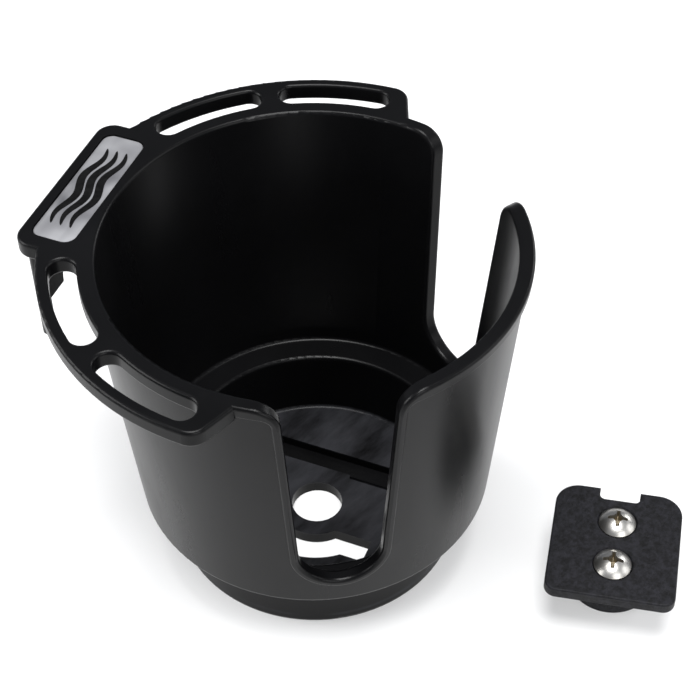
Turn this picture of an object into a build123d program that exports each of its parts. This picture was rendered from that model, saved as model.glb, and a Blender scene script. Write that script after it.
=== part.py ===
from build123d import *
from math import cos, radians, sin, sqrt, tan
import os

# Drink holder with a receiver on its back, and the separate screw-down mount button that it drops on to.
# Millimetres. The cup's axis is Z, its underside is at z = 0, and the badge pad and receiver face +Y.

# Cup: a conical wall standing on a smaller can recess
height = 94.1
wall = 2.65
rim_r = 49.9
cone_foot_r = 43.6
step_z = 19.6
ledge_z = 21.9
base_r = 35.8
base_edge_r = 2.0
step_edge_r = 1.5
recess_r = 33.5
recess_draft = 0.5
floor_t = 3.4
floor_hole_r = 6.5
inner_edge_r = 0.9
rim_inner_edge_r = 1.0

# Raised border: a lip round the rim that runs on down round both handle slots
lip_h = 3.2
bead_w = 2.1
bead_t = 1.0
bead_sink = 0.5
bead_corner_r = 2.3
bead_edge_r = 0.8
bead_foot_r = 0.5

# Flange round the back half of the rim, with lure slots; angles are from +Y
flange_r = 60.5
flange_t = 4.4
flange_corner_r = 4.5
flange_end_outer = 91.0
flange_end_inner = 95.8
flange_root_r = 48.4
lure_slot_r = 54.5
lure_slot_w = 6.3
lure_slot_spans = ((29.5, 51.8), (63.2, 84.9))
edge_r = 0.9

# Badge pad on the flange, and the badge that lies in it
pad_w = 45.8
pad_y = 62.8
pad_corner_r = 4.5
badge_w = 38.0
badge_d = 10.6
badge_corner_r = 2.6
badge_y = 54.7
badge_t = 0.8
badge_edge_r = 0.25
adhesive_t = 0.2
adhesive_inset = 0.8
badge_sink = 0.4
badge_gap = 0.15

# Handle slots, one each side of the front; side 1 is +X and side -1 is -X
handle_angle = {1: 122.5, -1: 120.9}
handle_foot_z = 29.7
handle_foot_r = 9.7
handle_top_half = {1: 12.6, -1: 12.2}
handle_back_corner_r = 6.0
handle_front_corner_r = 6.5

# Floor: a through slot on -X that swells round the centre hole, and a blind groove on +X
floor_slot_half = 18.0
groove_x = (11.4, 17.5)
groove_d = 2.7
slot_x = (-13.7, -7.1)
swell_r = (18.2, 10.7)
floor_rib_y = (-18.0, -5.0)
floor_rib_w = 1.2
floor_rib_h = 0.9

# Mount button: a plate with a locating notch on a round boss, held by two oval-head screws
button_x = 5.7
button_y = -77.2
button_turn = -79.1
plate_w = 31.5
plate_l = 33.6
plate_t = 3.2
plate_lead_r = 6.0
plate_tail_r = 3.0
plate_edge_r = 0.5
notch_w = 10.0
notch_d = 3.3
notch_r = 1.4
boss_r = 10.75
boss_h = 11.7
boss_edge_r = 0.8
screw_pitch = 13.0
screw_reach = 1.0
screw_r = 2.41
screw_tip_chamfer = 0.25
screw_root_r = 1.9
thread_foot_z = 0.9
thread_crest_r = 2.39
thread_pitch = 1.06
thread_turns = 9
screw_hole_r = 2.75
head_r = 4.6
head_rise = 2.1
head_rim_h = 0.25
head_sink = 0.2
head_gap = 0.3
countersink_angle = 41.0
recess_cross_l = 5.2
recess_cross_w = 1.1
recess_hub_r = 1.25
recess_d = 2.3
recess_taper = 12.0

# Receiver: a plate hung from the pad, arched round the mount button's boss, with a narrow leg each
# side; the button's plate slides up between it and two ribs on the cup's back wall
receiver_half_w = 20.3
receiver_y = (58.4, 61.3)
receiver_foot_z = 62.7
receiver_corner_r = 2.0
receiver_leg_w = 3.0
button_seat_gap = 0.4
boss_gap = 0.4
guide_rib_x = (8.0, 11.0)
guide_rib_root_y = 46.9
guide_rib_y = 54.8
guide_rib_foot_z = 78.0
notch_rib_y = 58.0
rib_gap = 0.35

# Solids that join run this far into each other, and cuts run this far past a surface
overlap = 0.3
overshoot = 5.0

flange_z = height - flange_t
inner_rim_r = rim_r - wall
lip_r = rim_r + bead_t
plate_z = screw_reach + boss_h
plate_top_z = plate_z + plate_t
badge_seat_z = height - badge_sink - badge_t - adhesive_t


def around(radius, angle, side=1):
    """Point at a radius from the cup's axis, at an angle from +Y towards +X, or towards -X for side -1."""
    return (side * radius * sin(radians(angle)), radius * cos(radians(angle)))


def wall_plane(side):
    """Upright plane through the cup's axis, facing out through the handle slot on one side."""
    out_x, out_y = around(1, handle_angle[side], side)
    return Plane(origin=(0, 0, 0), x_dir=(-out_y, out_x, 0), z_dir=(out_x, out_y, 0))


def wall_outer_r(z):
    """Radius of the conical wall's outer face at a height."""
    return cone_foot_r + (rim_r - cone_foot_r) * (z - step_z) / (height - step_z)


def handle_slot_outline(side, grow, shoulder_z, back_r, front_r, top_z):
    """Outline of one handle slot, grown all round, whose sides curve outward to a level at shoulder_z."""
    foot_centre_z = handle_foot_z + handle_foot_r
    foot_x = handle_foot_r + grow
    side_x = handle_top_half[side] + grow
    ends = []
    with BuildLine() as outline:
        for way, corner_r in ((side, back_r), (-side, front_r)):
            middle = corner_r * (1 - 1 / sqrt(2))
            foot = (way * foot_x, foot_centre_z)
            bend = (way * side_x, shoulder_z - corner_r)
            level = (way * (side_x + corner_r), shoulder_z)
            top = (way * (side_x + corner_r), top_z)
            Line(foot, bend)
            ThreePointArc(bend, (way * (side_x + middle), shoulder_z - middle), level)
            Line(level, top)
            ends.append((foot, top))
        Line(ends[0][1], ends[1][1])
        ThreePointArc(ends[0][0], (0, foot_centre_z - foot_x), ends[1][0])
    return outline.line


def on_wall(edge, offset):
    """True for a curved edge that lies on the conical wall, offset outward from its outer face."""
    middle = edge @ 0.5
    from_axis = sqrt(middle.X**2 + middle.Y**2)
    on_cone = abs(from_axis - wall_outer_r(middle.Z) - offset) < overlap / 2
    return on_cone and middle.Z > handle_foot_z - 2 * bead_w and edge.geom_type != GeomType.LINE


with BuildPart() as edge_bead:
    with BuildSketch(Plane.XY.offset(height - lip_h)):
        Circle(flange_r)
    extrude(amount=lip_h)
    for side in (1, -1):
        with BuildSketch(wall_plane(side)):
            add(handle_slot_outline(side, bead_w, height - lip_h, bead_corner_r, bead_corner_r, height))
            make_face()
    extrude(amount=flange_r)
    with BuildSketch(Plane.XZ):
        with BuildLine():
            foot_z = handle_foot_z - 2 * bead_w
            Polyline(
                (wall_outer_r(foot_z) - bead_sink, foot_z),
                (wall_outer_r(foot_z) + bead_t, foot_z),
                (wall_outer_r(height) + bead_t, height),
                (wall_outer_r(height) - bead_sink, height),
                close=True,
            )
        make_face()
    revolve(axis=Axis.Z, mode=Mode.INTERSECT)
    bead_outline = edge_bead.edges().filter_by(lambda e: on_wall(e, bead_t))
    fillet(bead_outline.filter_by(lambda e: (e @ 0.5).Z < height - overlap), bead_foot_r)

with BuildPart() as rim_flange:
    # Flange and pad
    inner_x, inner_y = around(lip_r, flange_end_inner)
    outer_x, outer_y = around(flange_r, flange_end_outer)
    beyond_x = 2 * outer_x - inner_x
    beyond_y = 2 * outer_y - inner_y
    with BuildSketch(Plane.XY.offset(flange_z)) as flange_plan:
        Circle(flange_r)
        with BuildLine():
            Polyline(
                (inner_x, inner_y),
                (beyond_x, beyond_y),
                (beyond_x, -2 * flange_r),
                (-beyond_x, -2 * flange_r),
                (-beyond_x, beyond_y),
                (-inner_x, inner_y),
                close=True,
            )
        make_face(mode=Mode.SUBTRACT)
        end_corners = flange_plan.vertices().filter_by(lambda v: abs(v.Y - outer_y) < 0.5)
        fillet(end_corners, flange_corner_r)
        with Locations((0, pad_y / 2 + wall)):
            Rectangle(pad_w, pad_y - 2 * wall)
        pad_corners = flange_plan.vertices().group_by(Axis.Y)[-1]
        fillet(pad_corners, pad_corner_r)
        for side in (1, -1):
            for start, end in lure_slot_spans:
                with BuildLine(mode=Mode.PRIVATE) as slot_line:
                    ThreePointArc(
                        around(lure_slot_r, start, side),
                        around(lure_slot_r, (start + end) / 2, side),
                        around(lure_slot_r, end, side),
                    )
                SlotArc(slot_line.edges()[0], lure_slot_w, mode=Mode.SUBTRACT)
    extrude(amount=flange_t)
    flange_faces = rim_flange.faces().sort_by(Axis.Z)
    fillet(flange_faces[-1].edges() + flange_faces[0].edges(), edge_r)
    with BuildSketch(Plane.XY.offset(flange_z)):
        Circle(flange_root_r)
    extrude(amount=flange_t, mode=Mode.SUBTRACT)

    # Receiver plate, hung from the pad and arched round the boss
    hang_t = receiver_y[1] - receiver_y[0]
    with BuildSketch(Plane.XY.offset(receiver_foot_z)) as receiver_plan:
        with Locations((0, receiver_y[0])):
            Rectangle(2 * receiver_half_w, hang_t, align=(Align.CENTER, Align.MIN))
        fillet(receiver_plan.vertices().group_by(Axis.Y)[-1], receiver_corner_r)
    extrude(amount=flange_z + edge_r - receiver_foot_z)
    arch_r = boss_r + boss_gap
    boss_seat_z = flange_z - button_seat_gap - plate_l / 2
    with BuildSketch(Plane.XZ.offset(-receiver_y[0])):
        with Locations((0, boss_seat_z)):
            Circle(arch_r)
        with Locations((0, receiver_foot_z)):
            Rectangle(
                2 * (receiver_half_w - receiver_leg_w),
                boss_seat_z - receiver_foot_z,
                align=(Align.CENTER, Align.MIN),
            )
    extrude(amount=-hang_t, mode=Mode.SUBTRACT)

    # Ribs: two on the back wall that guide the button's plate, and one that enters its notch
    guide_w = guide_rib_x[1] - guide_rib_x[0]
    with BuildSketch(Plane.XY.offset(guide_rib_foot_z)):
        rib_x = guide_rib_x[0] + guide_w / 2
        with Locations((rib_x, guide_rib_root_y), (-rib_x, guide_rib_root_y)):
            Rectangle(guide_w, guide_rib_y - guide_rib_root_y, align=(Align.CENTER, Align.MIN))
    extrude(amount=flange_z + overlap - guide_rib_foot_z)
    notch_rib_foot_z = flange_z - button_seat_gap - notch_d + rib_gap
    with BuildSketch(Plane.XY.offset(notch_rib_foot_z)):
        with Locations((0, guide_rib_y)):
            Rectangle(
                notch_w - 2 * rib_gap, notch_rib_y - guide_rib_y, align=(Align.CENTER, Align.MIN)
            )
    extrude(amount=flange_z + overlap - notch_rib_foot_z)

with BuildPart() as holder_body:
    # Cup's outside
    with BuildSketch(Plane.XZ) as outside:
        with BuildLine():
            Polyline(
                (0, 0),
                (base_r, 0),
                (base_r + recess_draft, step_z),
                (cone_foot_r, step_z),
                (rim_r, height),
                (0, height),
                close=True,
            )
        make_face()
        fillet(outside.vertices().group_by(Axis.Y)[0].sort_by(Axis.X)[-1], base_edge_r)
        fillet(outside.vertices().filter_by(lambda v: v.X > base_r + 2 and v.Y < ledge_z), step_edge_r)
    revolve(axis=Axis.Z)

    # Cup's inside: the flared well, the ledge that a mug stands on, and the can recess
    with BuildSketch(Plane.XZ) as inside:
        with BuildLine():
            Polyline(
                (0, floor_t),
                (recess_r, floor_t),
                (recess_r + recess_draft, ledge_z),
                (wall_outer_r(ledge_z) - wall, ledge_z),
                (inner_rim_r, height),
                (inner_rim_r + overshoot, height + overshoot),
                (0, height + overshoot),
                close=True,
            )
        make_face()
        fillet(inside.vertices().filter_by(lambda v: v.X > 1 and v.Y < height - 1), inner_edge_r)
    revolve(axis=Axis.Z, mode=Mode.SUBTRACT)

    # Border, then the handle slots through it
    add(edge_bead.part)
    for side in (1, -1):
        with BuildSketch(wall_plane(side)):
            add(
                handle_slot_outline(
                    side, 0, height, handle_back_corner_r, handle_front_corner_r, height + overshoot
                )
            )
            make_face()
    extrude(amount=flange_r, mode=Mode.SUBTRACT)
    slot_edges = holder_body.edges(Select.LAST)
    fillet(slot_edges.filter_by(lambda e: on_wall(e, bead_t)), bead_edge_r)
    fillet(holder_body.edges().filter_by(lambda e: on_wall(e, -wall)), rim_inner_edge_r)

    # Floor: centre hole, groove and slot
    with BuildSketch():
        Circle(floor_hole_r)
    extrude(amount=floor_t, mode=Mode.SUBTRACT)
    with BuildSketch(Plane.XY.offset(floor_t)):
        with Locations((sum(groove_x) / 2, 0)):
            Rectangle(groove_x[1] - groove_x[0], 2 * floor_slot_half)
    extrude(amount=-groove_d, mode=Mode.SUBTRACT)
    with BuildSketch():
        Circle(swell_r[0])
        with Locations((slot_x[0], 0)):
            Rectangle(4 * swell_r[0], 4 * swell_r[0], align=(Align.MIN, Align.CENTER), mode=Mode.SUBTRACT)
        with Locations((slot_x[0], 0)):
            Rectangle(slot_x[1] - slot_x[0], 2 * floor_slot_half, align=(Align.MIN, Align.CENTER))
        Circle(swell_r[1], mode=Mode.SUBTRACT)
    extrude(amount=floor_t, mode=Mode.SUBTRACT)
    with BuildSketch(Plane.XY.offset(floor_t)):
        with Locations((groove_x[0], sum(floor_rib_y) / 2)):
            Rectangle(floor_rib_w, floor_rib_y[1] - floor_rib_y[0], align=(Align.MAX, Align.CENTER))
    extrude(amount=floor_rib_h)

    add(rim_flange.part)

    # Recess in the pad for the badge
    with BuildSketch(Plane.XY.offset(badge_seat_z)):
        with Locations((0, badge_y)):
            RectangleRounded(
                badge_w + 2 * badge_gap, badge_d + 2 * badge_gap, badge_corner_r + badge_gap
            )
    extrude(amount=height - badge_seat_z, mode=Mode.SUBTRACT)

with BuildPart() as badge_adhesive:
    with BuildSketch(Plane.XY.offset(badge_seat_z)):
        with Locations((0, badge_y)):
            RectangleRounded(
                badge_w - 2 * adhesive_inset,
                badge_d - 2 * adhesive_inset,
                badge_corner_r - adhesive_inset,
            )
    extrude(amount=adhesive_t)

with BuildPart() as badge_plate:
    with BuildSketch(Plane.XY.offset(badge_seat_z + adhesive_t)):
        with Locations((0, badge_y)):
            RectangleRounded(badge_w, badge_d, badge_corner_r)
    extrude(amount=badge_t)
    fillet(badge_plate.faces().sort_by(Axis.Z)[-1].edges(), badge_edge_r)

button_plane = Plane(
    origin=(button_x, button_y, 0),
    x_dir=(cos(radians(button_turn)), sin(radians(button_turn)), 0),
    z_dir=(0, 0, 1),
)

with BuildPart() as mount_plate:
    with BuildSketch(button_plane.offset(plate_z)) as plate_plan:
        Rectangle(plate_w, plate_l)
        fillet(plate_plan.vertices().group_by(Axis.Y)[-1], plate_lead_r)
        fillet(plate_plan.vertices().group_by(Axis.Y)[0], plate_tail_r)
        with Locations((0, plate_l / 2)):
            Rectangle(notch_w, 2 * notch_d, mode=Mode.SUBTRACT)
        notch_corners = plate_plan.vertices().filter_by(lambda v: abs(v.X) < notch_w / 2 + 0.1)
        fillet(notch_corners.group_by(Axis.Y)[0], notch_r)
    extrude(amount=plate_t)
    plate_faces = mount_plate.faces().sort_by(Axis.Z)
    fillet(plate_faces[-1].edges() + plate_faces[0].edges(), plate_edge_r)
    with BuildSketch(button_plane.offset(screw_reach)):
        Circle(boss_r)
    extrude(amount=boss_h)
    fillet(mount_plate.faces().sort_by(Axis.Z)[0].edges(), boss_edge_r)
    with BuildSketch(button_plane.offset(screw_reach)):
        with GridLocations(0, screw_pitch, 1, 2):
            Circle(screw_hole_r)
    extrude(amount=boss_h + plate_t, mode=Mode.SUBTRACT)
    slope = tan(radians(countersink_angle))
    mouth_r = head_r + head_gap + head_sink * slope
    sink_d = (mouth_r - screw_hole_r) / slope
    for offset_y in (screw_pitch / 2, -screw_pitch / 2):
        with BuildSketch(button_plane.offset(plate_top_z)):
            with Locations((0, offset_y)):
                Circle(mouth_r)
        extrude(amount=-sink_d, taper=countersink_angle, mode=Mode.SUBTRACT)


def oval_head_screw(offset_y):
    """Oval-head cross-recess screw, seated in the plate's countersink at a place along the plate's length."""
    rim_z = plate_top_z - head_sink
    cone_foot = rim_z - head_rim_h - (head_r - screw_root_r) / tan(radians(countersink_angle))
    crown_r = (head_r**2 + head_rise**2) / (2 * head_rise)
    mid_x = head_r / 2
    mid_z = rim_z + head_rise - crown_r + sqrt(crown_r**2 - mid_x**2)
    foot_x, foot_y, _ = tuple(button_plane.from_local_coords((0, offset_y, 0)))
    centre = Plane(origin=(foot_x, foot_y, 0), x_dir=button_plane.x_dir, z_dir=(0, 0, 1))
    side_view = Plane(origin=centre.origin, x_dir=centre.x_dir, z_dir=-centre.y_dir)
    with BuildPart() as screw:
        with BuildSketch(side_view):
            with BuildLine():
                ThreePointArc((0, rim_z + head_rise), (mid_x, mid_z), (head_r, rim_z))
                Polyline(
                    (head_r, rim_z),
                    (head_r, rim_z - head_rim_h),
                    (screw_root_r, cone_foot),
                    (screw_root_r, thread_foot_z),
                    (screw_r, thread_foot_z),
                    (screw_r, screw_tip_chamfer),
                    (screw_r - screw_tip_chamfer, 0),
                    (0, 0),
                    (0, rim_z + head_rise),
                )
            make_face()
            for turn in range(thread_turns):
                root_z = thread_foot_z + turn * thread_pitch
                with BuildLine():
                    Polyline(
                        (screw_root_r - overlap, root_z),
                        (screw_root_r, root_z),
                        (thread_crest_r, root_z + thread_pitch / 2),
                        (screw_root_r, root_z + thread_pitch),
                        (screw_root_r - overlap, root_z + thread_pitch),
                        close=True,
                    )
                make_face()
        revolve(axis=Axis((foot_x, foot_y, 0), (0, 0, 1)))
        with BuildSketch(centre.offset(rim_z + head_rise)):
            Rectangle(recess_cross_l, recess_cross_w)
            Rectangle(recess_cross_w, recess_cross_l)
            Circle(recess_hub_r)
        extrude(amount=-recess_d, taper=recess_taper, mode=Mode.SUBTRACT)
    return screw


mount_screw_upper = oval_head_screw(screw_pitch / 2)
mount_screw_lower = oval_head_screw(-screw_pitch / 2)

holder_body.part.label = "holder_body"
badge_adhesive.part.label = "badge_adhesive"
badge_plate.part.label = "badge_plate"
mount_plate.part.label = "mount_plate"
mount_screw_upper.part.label = "mount_screw_upper"
mount_screw_lower.part.label = "mount_screw_lower"

os.makedirs("parts", exist_ok=True)
export_step(holder_body.part, "parts/holder_body.step")
export_step(badge_adhesive.part, "parts/badge_adhesive.step")
export_step(badge_plate.part, "parts/badge_plate.step")
export_step(mount_plate.part, "parts/mount_plate.step")
export_step(mount_screw_upper.part, "parts/mount_screw_upper.step")
export_step(mount_screw_lower.part, "parts/mount_screw_lower.step")
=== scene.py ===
import math

import bpy
from mathutils import Matrix, Vector


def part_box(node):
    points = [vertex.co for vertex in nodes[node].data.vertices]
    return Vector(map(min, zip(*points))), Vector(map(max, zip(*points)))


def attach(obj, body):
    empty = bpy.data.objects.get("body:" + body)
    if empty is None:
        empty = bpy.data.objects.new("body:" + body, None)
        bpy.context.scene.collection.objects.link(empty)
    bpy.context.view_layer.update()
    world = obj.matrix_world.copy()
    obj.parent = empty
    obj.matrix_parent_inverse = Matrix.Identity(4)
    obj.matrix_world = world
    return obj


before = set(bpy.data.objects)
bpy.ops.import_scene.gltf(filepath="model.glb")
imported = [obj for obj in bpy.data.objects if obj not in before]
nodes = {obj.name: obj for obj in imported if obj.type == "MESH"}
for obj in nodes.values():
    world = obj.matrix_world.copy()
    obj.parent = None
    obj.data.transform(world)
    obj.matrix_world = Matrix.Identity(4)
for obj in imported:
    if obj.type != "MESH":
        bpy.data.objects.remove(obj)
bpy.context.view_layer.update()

# Lengths are in metres, noise scales in features per metre, and colours are linear RGBA.

# ---------------------------------------------------------------- materials

# Spans of a noise value that a ramp stretches out
MIDDLE = (0.3, 0.7)
UPPER_MIDDLE = (0.35, 0.7)

# Holder: the levels between which the cup's floor lies, above the ground and below the wall
CUP_FLOOR_FROM = (0.0028, 0.0032)
CUP_FLOOR_TO = (0.0036, 0.0042)
# Holder: the turn of the streaks in the painted reflection on the cup's floor
FLOOR_SHEEN_TURN = math.radians(20)

# Mount plate: the direction of its faint streaks
STREAK_TURN = math.radians(-11)

# Screw head: the crown's radius and rise, the depth below it at which the recess's painted shade
# begins and is fully dark, and how far under the top the head ends
CROWN_R = 0.0046
CROWN_RISE = 0.0021
RECESS_SHADE_DEPTH = (0.00015, 0.0012)
HEAD_DEPTH = (0.0029, 0.0026)
CROWN_LIFT = 0.0001


class Shader:
    """One procedural material: a Principled shader and short calls that add nodes to it."""

    def __init__(self, name, **inputs):
        self.material = bpy.data.materials.new(name)
        self.material.use_nodes = True
        self.tree = self.material.node_tree
        self.bsdf = self.tree.nodes["Principled BSDF"]
        self.coords = self.tree.nodes.new("ShaderNodeTexCoord").outputs["Object"]
        for socket, value in inputs.items():
            self.bsdf.inputs[socket.replace("_", " ")].default_value = value

    def connect(self, value, socket):
        """Link a socket into another, or set a plain value on it."""
        if isinstance(value, bpy.types.NodeSocket):
            self.tree.links.new(value, socket)
        else:
            socket.default_value = value

    def node(self, kind, inputs, **settings):
        made = self.tree.nodes.new("ShaderNode" + kind)
        for name, value in settings.items():
            setattr(made, name, value)
        for socket, value in inputs.items():
            self.connect(value, made.inputs[socket])
        return made

    def mapped(self, scale=(1, 1, 1), turn=0.0, centre=(0, 0, 0)):
        """Object coordinates about a centre, turned about Z, then scaled."""
        moved = self.node("VectorMath", {0: self.coords, 1: centre}, operation="SUBTRACT").outputs[0]
        turned = self.node("Mapping", {"Vector": moved, "Rotation": (0, 0, turn)}).outputs[0]
        return self.node("Mapping", {"Vector": turned, "Scale": scale}).outputs[0]

    def noise(self, scale, vector=None, detail=4.0, rough=0.55):
        inputs = {
            "Vector": vector or self.coords,
            "Scale": scale,
            "Detail": detail,
            "Roughness": rough,
        }
        return self.node("TexNoise", inputs).outputs["Fac"]

    def ramp(self, value, span, low=0.0, high=1.0):
        """A value stretched so that its span runs from low to high, and held beyond it."""
        inputs = {
            "Value": value,
            "From Min": span[0],
            "From Max": span[1],
            "To Min": low,
            "To Max": high,
        }
        return self.node("MapRange", inputs).outputs[0]

    def mix(self, factor, colour_a, colour_b):
        made = self.node("Mix", {}, data_type="RGBA")
        for index, value in ((0, factor), (6, colour_a), (7, colour_b)):
            self.connect(value, made.inputs[index])
        return made.outputs[2]

    def calc(self, operation, a, b=0.0):
        return self.node("Math", {0: a, 1: b}, operation=operation).outputs[0]

    def bump(self, height, distance, strength, under=None):
        """A bump normal, laid over the one under it."""
        inputs = {"Height": height, "Distance": distance, "Strength": strength}
        if under is not None:
            inputs["Normal"] = under
        return self.node("Bump", inputs).outputs[0]

    def put(self, socket, value):
        self.tree.links.new(value, self.bsdf.inputs[socket])

    def give(self, obj):
        obj.data.materials.clear()
        obj.data.materials.append(self.material)


def holder_plastic():
    """Black moulded plastic: a satin skin with a very fine grain, faint flow marks and light
    handling rub, and a painted reflection on the bottom inside the cup: lighter, slightly rougher
    grey streaks."""
    made = Shader("holder_black_plastic", Specular_IOR_Level=0.12)
    cloud = made.noise(22.0, detail=5.0)
    grain = made.noise(1500.0, detail=3.0, rough=0.6)
    flow = made.noise(60.0, made.mapped((1, 1, 0.12)), detail=3.0)
    rub = made.noise(240.0, made.mapped((1, 1, 0.3)), detail=6.0, rough=0.7)
    streaks = made.noise(95.0, made.mapped((0.3, 1, 1), FLOOR_SHEEN_TURN), detail=6.0, rough=0.65)

    level = made.node("SeparateXYZ", {0: made.coords}).outputs[2]
    above_ground = made.ramp(level, CUP_FLOOR_FROM)
    below_wall = made.ramp(level, CUP_FLOOR_TO, 1.0, 0.0)
    cup_floor = made.calc("MULTIPLY", above_ground, below_wall)
    # Painted reflection: the cup's floor is lightened in streaks in place of the light it reflects
    painted_floor_sheen = made.calc("MULTIPLY", cup_floor, made.ramp(streaks, (0.36, 0.66)))

    skin_shade = made.ramp(cloud, UPPER_MIDDLE)
    skin = made.mix(skin_shade, (0.002, 0.002, 0.0022, 1), (0.0036, 0.0036, 0.004, 1))
    made.put("Base Color", made.mix(painted_floor_sheen, skin, (0.024, 0.0245, 0.028, 1)))

    flow_rough = made.ramp(flow, MIDDLE, 0.26, 0.33)
    rub_rough = made.ramp(rub, (0.55, 0.8), 0.0, 0.06)
    floor_sheen_rough = made.calc("MULTIPLY", painted_floor_sheen, 0.15)
    made.put("Roughness", made.calc("ADD", made.calc("ADD", flow_rough, rub_rough), floor_sheen_rough))
    made.put("Normal", made.bump(flow, 0.0001, 0.12, made.bump(grain, 0.00002, 0.35)))
    return made


def mount_plastic():
    """Charcoal plastic with a dull, slightly blotched and finely pitted face."""
    made = Shader("mount_charcoal_plastic", Specular_IOR_Level=0.18)
    blotch = made.noise(650.0, detail=7.0, rough=0.85)
    pits = made.noise(1900.0, detail=3.0, rough=0.6)
    streak = made.noise(420.0, made.mapped((1, 0.25, 1), STREAK_TURN))
    shade = made.ramp(blotch, (0.42, 0.6))
    made.put(
        "Base Color", made.mix(shade, (0.0006, 0.0006, 0.001, 1), (0.0115, 0.0115, 0.015, 1))
    )
    made.put("Roughness", made.ramp(streak, MIDDLE, 0.46, 0.62))
    made.put("Normal", made.bump(blotch, 0.0002, 0.7, made.bump(pits, 0.00006, 0.8)))
    return made


def badge_metal():
    """Silver badge face, brushed along its length, with a painted reflection: a broad cloud of
    lighter and darker silver.
    """
    made = Shader("badge_brushed_silver", Metallic=0.55)
    brushed = made.noise(900.0, made.mapped((0.04, 1, 1)), detail=5.0, rough=0.7)
    # Painted reflection: the broad cloud lightens and darkens the silver in place of reflected light
    cloud = made.noise(75.0, detail=2.0)
    shade = made.ramp(cloud, MIDDLE)
    made.put("Base Color", made.mix(shade, (0.12, 0.12, 0.13, 1), (0.44, 0.44, 0.455, 1)))
    made.put("Roughness", made.ramp(brushed, (0.3, 0.75), 0.34, 0.5))
    made.put("Normal", made.bump(brushed, 0.00002, 0.3))
    return made


def foam_pad():
    """Dark foam adhesive under the badge."""
    made = Shader("badge_foam_pad")
    cells = made.node("TexVoronoi", {"Vector": made.coords, "Scale": 2500.0}).outputs["Distance"]
    shade = made.ramp(cells, (0.0, 0.6))
    made.put("Base Color", made.mix(shade, (0.015, 0.015, 0.015, 1), (0.05, 0.05, 0.048, 1)))
    made.put("Roughness", made.ramp(made.noise(700.0), MIDDLE, 0.8, 0.95))
    made.put("Normal", made.bump(cells, 0.0001, 0.5))
    return made


def screw_steel(node):
    """Stainless screw: a satin crown with fine turning rings, and painted shade that darkens the
    cross recess.
    """
    made = Shader(node + "_steel", Metallic=1.0)
    low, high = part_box(node)
    middle = (low + high) / 2
    top_z = high.z + CROWN_LIFT
    about = made.mapped(centre=(middle.x, middle.y, 0.0))
    x, y, z = made.node("SeparateXYZ", {0: about}).outputs

    # How far a point lies below the crown's sphere
    radius_squared = made.calc("ADD", made.calc("MULTIPLY", x, x), made.calc("MULTIPLY", y, y))
    sphere_r = (CROWN_R**2 + CROWN_RISE**2) / (2 * CROWN_RISE)
    sagitta = made.calc("DIVIDE", radius_squared, 2 * sphere_r)
    depth = made.calc("SUBTRACT", made.calc("SUBTRACT", top_z, sagitta), z)
    within_head = made.ramp(z, [top_z - end for end in HEAD_DEPTH])
    # Painted shade: the cross recess below the crown is made darker, browner and a little rougher
    recess_shade = made.calc("MULTIPLY", made.ramp(depth, RECESS_SHADE_DEPTH), within_head)

    wear = made.noise(900.0, about, detail=6.0, rough=0.7)
    shade = made.ramp(wear, UPPER_MIDDLE)
    crown = made.mix(shade, (0.52, 0.51, 0.485, 1), (0.4, 0.39, 0.37, 1))
    made.put("Base Color", made.mix(recess_shade, crown, (0.3, 0.26, 0.19, 1)))
    worn_rough = made.ramp(wear, (0.3, 0.8), 0.29, 0.38)
    made.put("Roughness", made.calc("ADD", worn_rough, made.calc("MULTIPLY", recess_shade, 0.15)))
    rings = made.node(
        "TexWave",
        {"Vector": about, "Scale": 900.0, "Distortion": 2.0, "Detail": 2.0},
        wave_type="RINGS",
        rings_direction="Z",
    ).outputs["Fac"]
    made.put("Normal", made.bump(rings, 0.00001, 0.12, made.bump(wear, 0.00001, 0.03)))
    return made


def badge_enamel():
    """Black enamel of the badge's motif."""
    made = Shader("badge_black_enamel", Specular_IOR_Level=0.08)
    shade = made.ramp(made.noise(900.0), MIDDLE)
    made.put("Base Color", made.mix(shade, (0.002, 0.002, 0.002, 1), (0.006, 0.006, 0.006, 1)))
    made.put("Roughness", made.ramp(made.noise(500.0), MIDDLE, 0.3, 0.45))
    return made


def pale_floor():
    """Pale studio floor with a weak glow that softens the shadow on it."""
    made = Shader(
        "floor_pale", Roughness=0.85, Emission_Color=(1, 1, 1, 1), Emission_Strength=0.36
    )
    shade = made.ramp(made.noise(3.0), MIDDLE)
    made.put("Base Color", made.mix(shade, (0.5, 0.5, 0.5, 1), (0.53, 0.53, 0.53, 1)))
    return made


holder_plastic().give(nodes["holder_body"])
mount_plastic().give(nodes["mount_plate"])
badge_metal().give(nodes["badge_plate"])
foam_pad().give(nodes["badge_adhesive"])
for screw in ("mount_screw_upper", "mount_screw_lower"):
    screw_steel(screw).give(nodes[screw])


def mesh_object(name, verts, faces):
    mesh = bpy.data.meshes.new(name)
    mesh.from_pydata(verts, [], faces)
    mesh.update()
    made = bpy.data.objects.new(name, mesh)
    bpy.context.scene.collection.objects.link(made)
    return made


# ---------------------------------------------------------------- badge motif: three waves

WAVE_L = 0.028
WAVE_W = 0.0019
WAVE_TIP_W = 0.00005
WAVE_RISE = 0.0008
WAVE_TURNS = 2.0
WAVE_STEPS = 64
WAVE_SPACING = 0.0025
WAVE_SINK = 0.00002
WAVE_T = 0.0001

badge_low, badge_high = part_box("badge_plate")
badge_mid = (badge_low + badge_high) / 2


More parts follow.
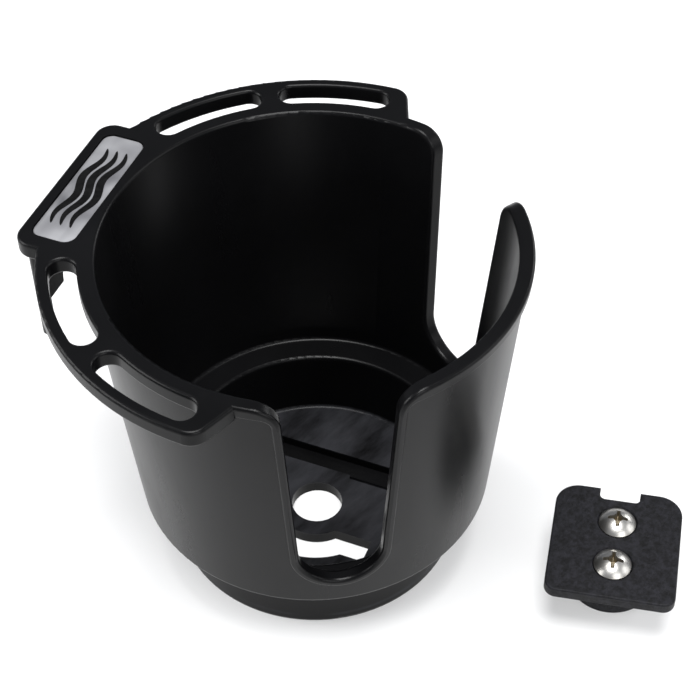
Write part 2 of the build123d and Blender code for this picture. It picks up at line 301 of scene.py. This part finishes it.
def ribbon(name, points, widths, base_z, thickness):
    """A flat raised strip that follows points, with a width at each of them."""
    left, right = [], []
    for index, (x, y) in enumerate(points):
        ahead = points[min(index + 1, len(points) - 1)]
        behind = points[max(index - 1, 0)]
        along = Vector((ahead[0] - behind[0], ahead[1] - behind[1])).normalized()
        offset = Vector((-along.y, along.x)) * widths[index] / 2
        left.append((x + offset.x, y + offset.y))
        right.append((x - offset.x, y - offset.y))
    rim = left + right[::-1]
    verts = [(x, y, base_z) for x, y in rim] + [(x, y, base_z + thickness) for x, y in rim]
    count, half = len(rim), len(left)
    faces = [(i, (i + 1) % count, count + (i + 1) % count, count + i) for i in range(count)]
    for i in range(half - 1):
        j = count - 1 - i
        faces.append((count + i, count + i + 1, count + j - 1, count + j))
        faces.append((j, j - 1, i + 1, i))
    return mesh_object(name, verts, faces)


def wave_points(centre_y):
    """Points along one wave on the badge, and a width at each that tapers to the ends."""
    points, widths = [], []
    for step in range(WAVE_STEPS + 1):
        share = step / WAVE_STEPS
        x = badge_mid.x + (share - 0.5) * WAVE_L
        rise = WAVE_RISE * math.sin(2 * math.pi * WAVE_TURNS * share)
        points.append((x, badge_mid.y + centre_y + rise))
        widths.append(WAVE_W * math.sqrt(max(math.sin(math.pi * share), 0.0)) + WAVE_TIP_W)
    return points, widths


enamel = badge_enamel()
for index, centre_y in enumerate((WAVE_SPACING, 0.0, -WAVE_SPACING)):
    points, widths = wave_points(centre_y)
    wave = ribbon(f"badge_wave_{index + 1}", points, widths, badge_high.z - WAVE_SINK, WAVE_T)
    enamel.give(wave)
    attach(wave, "holder")

# ---------------------------------------------------------------- floor, light and camera

FLOOR_HALF = 6
WORLD_COLOUR = (0.88, 0.92, 1.0, 1)
WORLD_STRENGTH = 0.28

# Softboxes: name, place (to the right, away from the camera, up), width and power in watts
SOFTBOXES = (
    ("overhead", (0.0, -0.2, 1.6), 0.8, 36),
    ("side_left", (-1.25, -0.1, 0.6), 0.8, 16),
    ("side_right", (1.25, -0.1, 0.6), 0.8, 5),
    ("front", (0.6, -1.15, 0.75), 0.9, 9),
    ("back_right", (0.95, 0.85, 0.5), 0.35, 3),
)
AWAY = Vector((0.923, 0.385, 0.0)).normalized()
TO_RIGHT = Vector((0.385, -0.923, 0.0)).normalized()
LIGHT_AIM = Vector((0.0, -0.01, 0.045))

CAMERA_PLACE = (-0.26093, -0.11891, 0.35812)
CAMERA_FORWARD = (0.6396, 0.2671, -0.7209)
CAMERA_ROLL = -0.016
SENSOR_MM = 36
LENS_MM = 89.81

floor_corners = [
    (-FLOOR_HALF, -FLOOR_HALF, 0),
    (FLOOR_HALF, -FLOOR_HALF, 0),
    (FLOOR_HALF, FLOOR_HALF, 0),
    (-FLOOR_HALF, FLOOR_HALF, 0),
]
floor = mesh_object("floor", floor_corners, [(0, 1, 2, 3)])
pale_floor().give(floor)

world = bpy.data.worlds.new("studio")
bpy.context.scene.world = world
world.use_nodes = True
world.node_tree.nodes["Background"].inputs["Color"].default_value = WORLD_COLOUR
world.node_tree.nodes["Background"].inputs["Strength"].default_value = WORLD_STRENGTH
bpy.context.scene.view_settings.view_transform = "Standard"


def softbox(name, place, size, power):
    """A square area light at a place relative to the object, aimed at it."""
    lamp = bpy.data.lights.new(name, "AREA")
    lamp.shape = "RECTANGLE"
    lamp.size = size
    lamp.size_y = size
    lamp.energy = power
    made = bpy.data.objects.new(name, lamp)
    bpy.context.scene.collection.objects.link(made)
    right, back, up = place
    made.location = LIGHT_AIM + TO_RIGHT * right + AWAY * back + Vector((0, 0, up))
    made.rotation_mode = "QUATERNION"
    made.rotation_quaternion = (LIGHT_AIM - made.location).to_track_quat("-Z", "Y")


for softbox_row in SOFTBOXES:
    softbox(*softbox_row)

camera_data = bpy.data.cameras.new("camera")
camera = bpy.data.objects.new("camera", camera_data)
bpy.context.scene.collection.objects.link(camera)
bpy.context.scene.camera = camera
camera_data.sensor_width = SENSOR_MM
camera_data.lens = LENS_MM
camera_data.clip_start = 0.01
camera_data.clip_end = 50
forward = Vector(CAMERA_FORWARD).normalized()
right = forward.cross(Vector((0, 0, 1))).normalized()
up = right.cross(forward)
camera.matrix_world = (
    Matrix.Translation(CAMERA_PLACE)
    @ Matrix((right, up, -forward)).transposed().to_4x4()
    @ Matrix.Rotation(CAMERA_ROLL, 4, "Z")
)

# ---------------------------------------------------------------- final update

bpy.context.view_layer.update()
